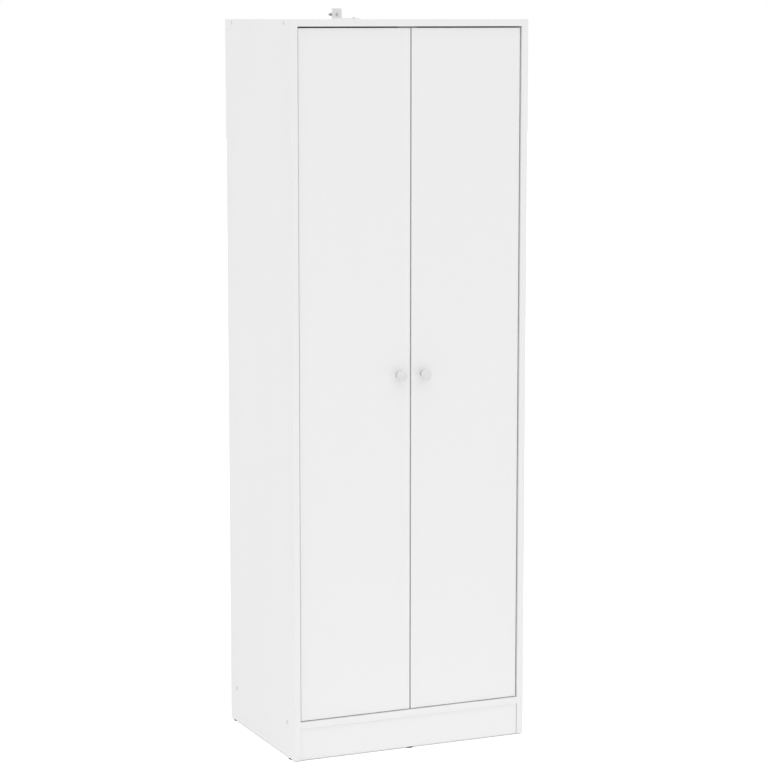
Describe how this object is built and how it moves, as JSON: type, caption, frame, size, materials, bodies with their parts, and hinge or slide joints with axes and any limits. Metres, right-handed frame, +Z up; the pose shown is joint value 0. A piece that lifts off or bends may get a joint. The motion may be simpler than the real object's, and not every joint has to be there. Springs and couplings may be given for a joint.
{
  "type": "pantry cabinet",
  "caption": "Tall white storage cabinet with double inset doors, round knobs, concealed hinges, inner shelves and a plinth.",
  "frame": {"origin": "on the floor under the glides, at the centre of the whole object's bounding box in X and Y, knobs and wall plug included", "axes": "+Z up; the doors face -Y; +X is to the right of someone who faces the doors"},
  "size_m": [0.6256, 0.536, 1.827],
  "materials": {
    "white_melamine": "white melamine-faced board with a satin face",
    "white_hardboard": "hardboard with white paper foil on the inner face and raw brown fibre behind",
    "white_plastic": "moulded, satin",
    "cap_plastic": "light grey, moulded, satin",
    "grey_plastic": "dark grey, moulded, matte",
    "plug_plastic": "grey nylon, matte",
    "knob_lacquer": "satin lacquer",
    "bracket_paint": "satin powder coat",
    "nickel_plate": "nickel-plated sheet steel",
    "zinc_steel": "bright zinc plate",
    "cast_zinc": "cast zinc, matte",
    "magnet": "magnet between dark steel plates",
    "beech": "plain beech"
  },
  "bodies": {
    "carcass": {"left_side_panel": "white_melamine", "right_side_panel": "white_melamine", "top_panel": "white_melamine", "bottom_panel": "white_melamine", "plinth_board": "white_melamine", "fixed_shelf": "white_melamine", "lower_shelf": "white_melamine", "middle_shelf": "white_melamine", "upper_shelf": "white_melamine", "lower_back_panel": "white_hardboard", "upper_back_panel": "white_hardboard", "back_joining_strip": "white_plastic", "back_nails": "zinc_steel", "housing_screws": "zinc_steel", "screw_caps": "cap_plastic", "wooden_dowels": "beech", "cam_bolts": "zinc_steel", "cam_locks": "cast_zinc", "shelf_pins": "zinc_steel", "glides": "grey_plastic", "glide_nails": "zinc_steel", "left_hinge_plates": "nickel_plate", "left_hinge_arms": "nickel_plate", "right_hinge_plates": "nickel_plate", "right_hinge_arms": "nickel_plate", "hinge_plate_screws": "zinc_steel", "hinge_arm_screws": "zinc_steel", "catch_housing": "white_plastic", "catch_magnets": "magnet", "catch_screws": "zinc_steel", "wall_bracket": "bracket_paint", "bracket_screw": "zinc_steel", "wall_screw": "zinc_steel", "wall_plug": "plug_plastic"},
    "left_door": {"left_door_panel": "white_melamine", "left_door_knob": "knob_lacquer", "left_knob_screw": "zinc_steel", "left_hinge_cups": "nickel_plate", "left_hinge_pins": "zinc_steel", "left_cup_screws": "zinc_steel", "left_strike_plate": "zinc_steel", "left_strike_screw": "zinc_steel"},
    "right_door": {"right_door_panel": "white_melamine", "right_door_knob": "knob_lacquer", "right_knob_screw": "zinc_steel", "right_hinge_cups": "nickel_plate", "right_hinge_pins": "zinc_steel", "right_cup_screws": "zinc_steel", "right_strike_plate": "zinc_steel", "right_strike_screw": "zinc_steel"}
  },
  "joints": [
    {"name": "left_door_hinge", "type": "hinge", "parent": "carcass", "child": "left_door", "pos_m": [-0.2805, -0.2328, 0.94075], "axis": [0, 0, -1], "range_deg": [0, 95]},
    {"name": "right_door_hinge", "type": "hinge", "parent": "carcass", "child": "right_door", "pos_m": [0.2805, -0.2328, 0.94075], "axis": [0, 0, 1], "range_deg": [0, 95]}
  ]
}
